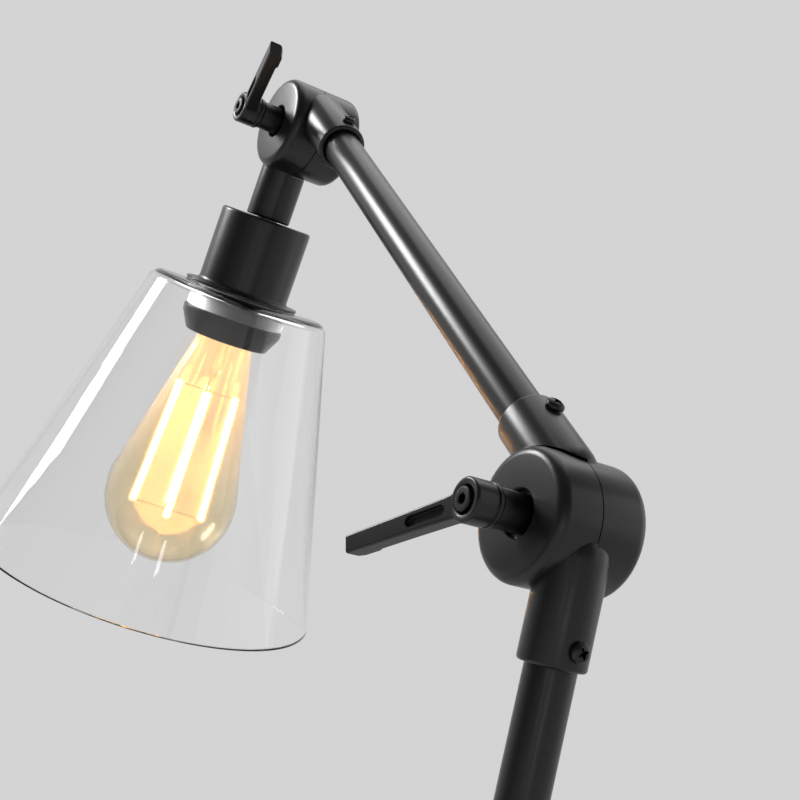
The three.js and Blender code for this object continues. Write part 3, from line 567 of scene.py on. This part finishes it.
HUB_RADIUS = 7
HUB_REAR = 24.6
HUB_FRONT = 34.7
HUB_GROOVE = 0.55
RECESS_RADIUS = 4.3
RECESS_FLOOR = 28.8
SCREW_TOP = 35.6
SCREW_HEAD = 3.2
SCREW_SHANK = 2
STUD_RADIUS = 3
STUD_END = -13
BUSH_RADIUS = 6.2
BUSH_START = 12.5

# The root and the tip of the teeth in the hub, and of those on the stud
HUB_TEETH = (4.6, 5.3)
STUD_TEETH = (4.3, 5)

LEVER_LENGTH = 47.5
LEVER_RISE = 10.3
RISE_START = 6
SLOPE = LEVER_RISE / (LEVER_LENGTH - RISE_START)
SLOT_LENGTH = 15
SLOT_MIDDLE = 16.3
SLOT_DEPTH = 1.8


def toothed(root, tip, start, end):
    """A ring of sixteen straight teeth along Z."""
    form = prism(32, end - start, tip, start)
    for vert in form.verts:
        if round(math.degrees(math.atan2(vert.co.y, vert.co.x)) / 11.25) % 2:
            vert.co.x *= root / tip
            vert.co.y *= root / tip
    return form


def bar(sections):
    """A square bar grown along Z through sections (distance, rear, front, half width)."""
    form = bmesh.new()
    bmesh.ops.create_grid(form, x_segments=1, y_segments=1, size=1)
    end = next(iter(form.faces))
    for number, (distance, rear, front, half) in enumerate(sections):
        if number:
            grown = bmesh.ops.extrude_face_region(form, geom=[end])["geom"]
            if number > 1:
                bmesh.ops.delete(form, geom=[end], context="FACES_ONLY")
            end = next(part for part in grown if isinstance(part, bmesh.types.BMFace))
        middle = sum((vert.co for vert in end.verts), Vector()) / 4
        for vert in end.verts:
            forward = front if vert.co.y < middle.y else rear
            vert.co = (math.copysign(half, vert.co.x - middle.x), -forward, distance)
    bmesh.ops.recalc_face_normals(form, faces=form.faces)
    return form


def rounded(form, chosen, radius, segments=4):
    """Rounds the edges that the test picks."""
    edges = [edge for edge in form.edges if chosen(edge.verts[0].co, edge.verts[1].co)]
    bmesh.ops.bevel(form, geom=edges, offset=radius, offset_type="OFFSET", segments=segments,
                    profile=0.5, affect="EDGES", clamp_overlap=True, material=-1)
    return form


def lever_front(distance):
    """How far forward the front of the lever's arm is, at a distance from the pivot."""
    return HUB_FRONT + SLOPE * (distance - RISE_START)


def lever_arm():
    """The arm: its front rises, its back is slim, then steps out to a thicker finger tip."""
    sizes = [
        (0, 7.6, 4.6), (4.4, 6.8, 4.3), (6.2, 6.3, 4.0), (8.8, 5.7, 3.75), (16.3, 5.7, 3.57),
        (23.8, 5.7, 3.4), (39, 5.7, 3.15), (39.8, 6.5, 3.12), (45.9, 6.5, 3.0),
        (LEVER_LENGTH, 5.6, 3.0),
    ]
    form = bar([(far, lever_front(far) - thick, lever_front(far), half) for far, thick, half in sizes])
    rounded(form, lambda a, b: abs(a.z - b.z) > 0.3 * (a - b).length, 0.75)
    return form


def lever_slot():
    """The round-ended slot sunk into the front of the arm."""
    wide, deep = 3.6, 8
    form = block(wide, deep, SLOT_LENGTH, (0, 0, SLOT_MIDDLE))
    rounded(form, lambda a, b: abs(a.y - b.y) > 1, wide / 2 - 0.01, 8)
    rounded(form, lambda a, b: min(a.y, b.y) > deep / 2 - 0.1, 0.5, 3)
    rise = Matrix.Identity(4)
    rise[1][2] = -SLOPE
    return moved(form, Matrix.Translation((0, SLOT_DEPTH - deep / 2 - lever_front(0), 0)) @ rise)


def lever(joint):
    """The die-cast handle with its hub, the stud that it turns, and the screw in its front."""
    where = place(PIVOTS[joint], LEVER_LEANS[joint])
    waist = HUB_RADIUS - HUB_GROOVE
    hub = turned([
        (0, HUB_REAR), (HUB_RADIUS, HUB_REAR, 0.55), (HUB_RADIUS, HUB_REAR + 1.7, 0.25),
        (waist, HUB_REAR + 1.8, 0.15), (waist, HUB_REAR + 2.4, 0.15), (HUB_RADIUS, HUB_REAR + 2.5, 0.3),
        (HUB_RADIUS, HUB_FRONT, 0.95), (0, HUB_FRONT),
    ])
    step, mouth = RECESS_RADIUS + 0.5, RECESS_RADIUS + 0.8
    recess = turned([
        (0, RECESS_FLOOR), (RECESS_RADIUS, RECESS_FLOOR), (RECESS_RADIUS, HUB_FRONT - 0.7, 0.2),
        (step, HUB_FRONT, 0.3), (mouth, HUB_FRONT + 0.1), (mouth, HUB_FRONT + 2), (0, HUB_FRONT + 2),
    ])
    form = cut(fused(moved(hub, TO_FRONT), lever_arm()), lever_slot(), moved(recess, TO_FRONT))
    form = cut(form, moved(toothed(*HUB_TEETH, HUB_REAR - 2, RECESS_FLOOR - 0.9), TO_FRONT))
    form = cut(form, moved(rod(SCREW_SHANK + 0.3, RECESS_FLOOR - 2, RECESS_FLOOR + 1), TO_FRONT))
    name, body = f"{joint}_lever", f"{joint}_clamp"
    handle = piece(name, form, where, name, "lever_paint", [name], 0.22, 38)
    flat_faces = handle.modifiers.new("flat faces", "WEIGHTED_NORMAL")
    flat_faces.keep_sharp = True
    flat_faces.weight = 100

    bush_end = HUB_REAR - 0.3
    stud = turned([
        (0, STUD_END), (STUD_RADIUS, STUD_END, 0.8), (STUD_RADIUS, BUSH_START),
        (BUSH_RADIUS, BUSH_START, 0.5), (BUSH_RADIUS, bush_end, 0.35), (0, bush_end),
    ])
    stud = moved(fused(stud, toothed(*STUD_TEETH, HUB_REAR - 1, HUB_REAR + 3)), TO_FRONT)
    name = f"{joint}_clamp_stud"
    piece(name, stud, where, body, "black_steel", [name], 0.12)

    top, neck = SCREW_TOP, SCREW_TOP - SCREW_HEAD
    screw = turned([
        (0, neck - 10), (SCREW_SHANK, neck - 10), (SCREW_SHANK, neck), (3.8, neck, 0.2),
        (3.8, top, 0.45), (0, top),
    ])
    lead_in = turned([(0, top - 0.25), (1.75, top - 0.25), (2.1, top + 0.1), (0, top + 0.1)])
    screw = moved(cut(screw, prism(6, 4, 1.8, top - 1.8, 12), lead_in), TO_FRONT)
    name = f"{joint}_lever_screw"
    piece(name, screw, where, body, "black_steel", [name], 0.08)


for each_joint in PIVOTS:
    lever(each_joint)

# The base

BASE_RADIUS = 95
BASE_HEIGHT = 16
COVER_WALL = 1.5
COVER_BOTTOM = 2.3
SWITCH_THREAD = 6.6
SWITCH_HOLE = 6.9
SWITCH_BORE = 5.1
GROMMET_BORE = 3.2
GROMMET_WAIST = 3.9
GROMMET_RADIUS = 4.6
GROMMET_START = 91.9
GROMMET_END = 96.7
SWITCH = Matrix.Translation((-58, 0, 0))
CABLE_WAY = Matrix.Translation((0, 0, 6.9))

inside, ceiling = BASE_RADIUS - COVER_WALL, BASE_HEIGHT - COVER_WALL
cover = turned([
    (BASE_RADIUS, COVER_BOTTOM, 0.4), (BASE_RADIUS, BASE_HEIGHT, 5), (0, BASE_HEIGHT), (0, ceiling),
    (inside, ceiling, 3.5), (inside, COVER_BOTTOM, 0.3),
], LARGE_STEPS)
stem_hole = rod(8.3, 0, BASE_HEIGHT + 4)
switch_hole = moved(rod(SWITCH_HOLE, 0, BASE_HEIGHT + 4), SWITCH)
cable_hole = moved(moved(rod(4.2, BASE_RADIUS - 5, BASE_RADIUS + 3), TO_RIGHT), CABLE_WAY)
cover = cut(cover, stem_hole, switch_hole, cable_hole)
piece("base_cover", cover, WHERE_IT_IS, "base", "paint", ["base_cover"], 0.15)
pad = rod(BASE_RADIUS - 4, 0, 2, 0.4, LARGE_STEPS)
piece("base_pad", pad, WHERE_IT_IS, "base", "pad", ["base_pad"])

grommet = turned([
    (GROMMET_BORE, GROMMET_START, 0.3), (GROMMET_RADIUS, GROMMET_START, 0.3),
    (GROMMET_RADIUS, 92.9, 0.2), (GROMMET_WAIST, 92.9), (GROMMET_WAIST, 95.3),
    (GROMMET_RADIUS, 95.3, 0.2), (GROMMET_RADIUS, GROMMET_END, 0.6), (GROMMET_BORE, GROMMET_END, 0.6),
], SMALL_STEPS)
piece("cable_grommet", moved(grommet, TO_RIGHT), CABLE_WAY, "base", "rubber", ["cable_grommet"])

switch_body = turned([
    (0, 5), (10, 5, 0.5), (10, 14.2, 0.5), (SWITCH_THREAD, 14.2), (SWITCH_THREAD, 18.8, 0.5),
    (SWITCH_BORE, 18.8, 0.3), (SWITCH_BORE, 11.8), (0, 11.8),
])
piece("switch_body", switch_body, SWITCH, "base", "moulded", ["switch_body"])
switch_nut = pipe(SWITCH_HOLE, 9.2, 16.3, 18.3, 0.4)
piece("switch_nut", switch_nut, SWITCH, "base", "black_steel", ["switch_nut"])
button = turned([(0, 14.6), (4.8, 14.6, 0.2), (4.8, 22.4, 0.9), (3.4, 22.4, 0.6), (0, 22.1)])
piece("switch_button", button, SWITCH, "switch_button", "moulded", ["switch_button"])

# The head hangs along local Z from beside the head's pivot

CUP_TOP = 44.8
CUP_RADIUS = 22
CUP_WALL = 1.3
CUP_END = 83
BRIM_TOP = 81.8
BRIM_RADIUS = 27.6
SHADE_STEPS = 144
SHADE_TOP = 83.3
SHADE_UNDER = 86.3
SHADE_END = 230.7
COLLAR_BORE = 20
COLLAR_RADIUS = 24
COLLAR_END = 94.4
RING_TOP = 94.7
RING_LEDGE = 103.1
RING_END = 106.2
RING_RADIUS = 24.5
RING_THREAD = 19.6
RING_BORE = 15.6

hollow = CUP_RADIUS - CUP_WALL
cup = turned([
    (0, CUP_TOP), (CUP_RADIUS, CUP_TOP, 1.4), (CUP_RADIUS, BRIM_TOP, 2.2), (BRIM_RADIUS, BRIM_TOP, 0.3),
    (BRIM_RADIUS, CUP_END, 0.3), (hollow, CUP_END, 0.2), (hollow, CUP_TOP + CUP_WALL, 0.8),
    (0, CUP_TOP + CUP_WALL),
])
cup = cut(cup, rod(5.2, 40, 50))
piece("holder_cup", cup, NECK, "head", "paint", ["holder_cup"], 0.1)

shade = turned([
    (COLLAR_BORE, SHADE_TOP, 0.7), (43.4, SHADE_TOP, 4.6), (85.2, SHADE_END, 1.2),
    (82.3, SHADE_END, 1.2), (41.3, SHADE_UNDER, 2.2), (COLLAR_RADIUS, SHADE_UNDER, 0.8),
    (COLLAR_RADIUS, COLLAR_END, 0.7), (COLLAR_BORE, COLLAR_END, 0.7),
], SHADE_STEPS)
piece("glass_shade", shade, NECK, "head", "clear_glass", ["glass_shade"])

shade_ring = turned([
    (RING_THREAD, RING_TOP, 0.2), (RING_RADIUS, RING_TOP, 0.5), (RING_RADIUS, RING_TOP + 3, 0.8),
    (20, RING_END, 0.7), (RING_BORE, RING_END, 0.5), (RING_BORE, RING_LEDGE), (RING_THREAD, RING_LEDGE),
])
piece("shade_ring", shade_ring, NECK, "head", "moulded", ["shade_ring"])

CAP_TOP = 74
CAP_END = 97.2
CAP_RADIUS = 12.4
THREAD_RADIUS = 13.1
THREAD_PITCH = 3.6
GLASS_START = 97.5
GLASS_WALL = 1
BALL_CENTRE = 185
BALL_RADIUS = 32
NECK_RADIUS = 13.3
NECK_LENGTH = 8.4


def bulb_side(neck, ball):
    """One side of the glass: a short neck, then a cone that runs tangent into the ball."""
    drop = BALL_CENTRE - GLASS_START - NECK_LENGTH
    distance = math.hypot(neck, drop)
    start = math.acos(ball / distance) - math.atan2(drop, neck)
    steps = 20
    turns = [start + (math.pi / 2 - start) * number / steps for number in range(steps + 1)]
    curve = [(ball * math.cos(turn), BALL_CENTRE + ball * math.sin(turn)) for turn in turns]
    curve[-1] = (0, BALL_CENTRE + ball)
    return [(neck, GLASS_START), (neck, GLASS_START + NECK_LENGTH, 6.5), *curve]


outside = bulb_side(NECK_RADIUS, BALL_RADIUS)
inside = bulb_side(NECK_RADIUS - GLASS_WALL, BALL_RADIUS - GLASS_WALL)
piece("bulb_glass", turned([*outside, *reversed(inside)]), NECK, "head", "amber_glass", ["bulb_glass"])

thread = []
for turn in range(4):
    crest = CAP_TOP + 6.8 + turn * THREAD_PITCH
    thread += [(THREAD_RADIUS, crest, 0.8), (CAP_RADIUS, crest + THREAD_PITCH / 2, 0.6)]
cap = turned([
    (0, CAP_TOP), (4, CAP_TOP, 0.5), (CAP_RADIUS, CAP_TOP + 5, 0.5), *thread, (CAP_RADIUS, CAP_END),
    (0, CAP_END),
])
piece("bulb_cap", cap, NECK, "head", "brass", ["bulb_cap"])

FILAMENT_START = GLASS_START + 29.8
FILAMENT_ENDS = (3.5, 65.5)
FILAMENT_RADIUS = 1.6
FILAMENT_SHIFT = 13.8
FILAMENT_TURN = 20
FILAMENT_LEAN = math.asin(3 / 58)
WIRE_RADIUS = 0.35
WIRE_HEIGHTS = (4.6, 64.4)
MOUNT_END = FILAMENT_START + 66

mount = turned([
    (0, 97.8), (9.5, 97.8, 0.5), (6, 99.5, 1), (2.8, 104, 2), (2.8, 121.5, 2), (1.2, 125, 1),
    (1.2, MOUNT_END, 1), (0, MOUNT_END),
], SMALL_STEPS)
piece("bulb_mount", mount, NECK, "head", "clear_glass", ["bulb_mount"])

for number in range(4):
    turn = Matrix.Rotation(math.radians(FILAMENT_TURN + 90 * number), 4, "Z")
    lean = Matrix.Rotation(FILAMENT_LEAN, 4, "Y")
    stick = rod(FILAMENT_RADIUS, *FILAMENT_ENDS, 1.3)
    where = NECK @ turn @ Matrix.Translation((FILAMENT_SHIFT, 0, FILAMENT_START)) @ lean
    piece(f"filament_{number + 1}", stick, where, "head", "filament", [f"filament_{number + 1}"])
    wires = bmesh.new()
    for height in WIRE_HEIGHTS:
        reach = FILAMENT_SHIFT + height * math.sin(FILAMENT_LEAN)
        wire = moved(rod(WIRE_RADIUS, 0.8, reach, steps=12), TO_RIGHT)
        whole = bpy.data.meshes.new("wire")
        moved(wire, Matrix.Translation((0, 0, FILAMENT_START + height))).to_mesh(whole)
        wires.from_mesh(whole)
        bpy.data.meshes.remove(whole)
    piece(f"filament_wires_{number + 1}", wires, NECK @ turn, "head", "zinc")

# The nodes that stay as they are packed get their finish

for subpart in frame["record"]["subparts"]:
    node = frame["nodes"][subpart["node"]]
    node.data.materials.clear()
    node.data.materials.append(finishes[subpart["material_slot"]])

# Floor, light and camera


MIDDLE = Vector((0.03, 0, 0.4))
FLOOR_RADIUS = 4

# Each light's name, place, width, height and power
LIGHTS = [
    ("window", (-0.7, -0.82, 1.46), 0.36, 0.46, 15),
    ("near lamp", (0.582, -0.242, 0.08), 0.035, 0.06, 0.05),
    ("far lamp", (0.58, -0.52, 0.115), 0.035, 0.06, 0.05),
    ("room side", (1.1, 1.5, 0.4), 2.2, 2.2, 11),
    ("ceiling", (0.2, 0.3, 1.9), 1.4, 1.4, 8),
]

for name, point, wide, high, power in LIGHTS:
    light = bpy.data.lights.new(name, "AREA")
    light.shape = "RECTANGLE"
    light.size = wide
    light.size_y = high
    light.energy = power
    lamp = bpy.data.objects.new(name, light)
    lamp.location = point
    lamp.rotation_euler = (MIDDLE - Vector(point)).to_track_quat("-Z", "Y").to_euler()
    bpy.context.scene.collection.objects.link(lamp)

world = bpy.data.worlds.new("pale studio")
bpy.context.scene.world = world
world.use_nodes = True
world.node_tree.nodes.clear()
studio = Shading(world.node_tree)
PALE = (0.66, 0.655, 0.66, 1)
DIM = (0.1, 0.1, 0.105, 1)
SOFT = (0.8, 0.81, 0.83, 1)
WALL_SIDE = (-0.83, 0.55, 0.1)


def ray(output):
    return studio.node("ShaderNodeLightPath", {}, {}, output)


def sky(colour, strength=1.0):
    return studio.node("ShaderNodeBackground", {}, {"Color": colour, "Strength": strength})


def either(share, first, second):
    return studio.node("ShaderNodeMixShader", {}, {0: share, 1: first, 2: second})


# Gloss shows a pale wall on one side and a dimmer room on the other.
# The camera, and rays in or through glass, see the pale wall all round.
direction = studio.node("ShaderNodeTexCoord", {}, {}, "Generated")
to_wall = studio.between(studio.lean_towards(direction, WALL_SIDE), -0.3, 0.6)
gloss = sky(studio.mix(to_wall, DIM, PALE))
soft = either(ray("Is Glossy Ray"), sky(SOFT, 0.45), gloss)
in_glass = studio.between(ray("Transmission Depth"), 0, 1) * ray("Is Glossy Ray")
whole = either(ray("Is Camera Ray") + ray("Is Transmission Ray") + in_glass, soft, sky(PALE))
studio.set("Surface", whole, studio.tree.nodes.new("ShaderNodeOutputWorld"))

plaster = Finish("pale floor", PALE[:3], 0.7)
cloud = plaster.noise(3.0, 4.0, 0.6)
plaster.set("Base Color", plaster.mix(cloud, (0.63, 0.63, 0.64, 1), (0.69, 0.685, 0.68, 1)))
ground = bmesh.new()
bmesh.ops.create_circle(ground, cap_ends=True, segments=64, radius=FLOOR_RADIUS)
floor_mesh = bpy.data.meshes.new("floor")
ground.to_mesh(floor_mesh)
ground.free()
floor_mesh.materials.append(plaster.material)
floor = bpy.data.objects.new("floor", floor_mesh)
bpy.context.scene.collection.objects.link(floor)

# The camera stands where the photo was taken from, as fitted to the outlines
CAMERA_PLACE = Vector((0.39742, -0.25357, 0.19816))
CAMERA_AHEAD = Vector((-0.7425, 0.5068, 0.4380)).normalized()
CAMERA_RIGHT = Vector((0.5638, 0.8259, 0)).normalized()
camera_data = bpy.data.cameras.new("camera")
camera_data.lens = 60.5
camera_data.sensor_width = 36
camera_data.clip_start = 0.01
camera = bpy.data.objects.new("camera", camera_data)
right = (CAMERA_RIGHT - CAMERA_AHEAD * CAMERA_RIGHT.dot(CAMERA_AHEAD)).normalized()
up = right.cross(CAMERA_AHEAD)
turn = Matrix((right, up, -CAMERA_AHEAD)).transposed().to_4x4()
camera.matrix_world = Matrix.Translation(CAMERA_PLACE) @ turn
bpy.context.scene.collection.objects.link(camera)
bpy.context.scene.camera = camera
bpy.context.scene.view_settings.view_transform = "Standard"
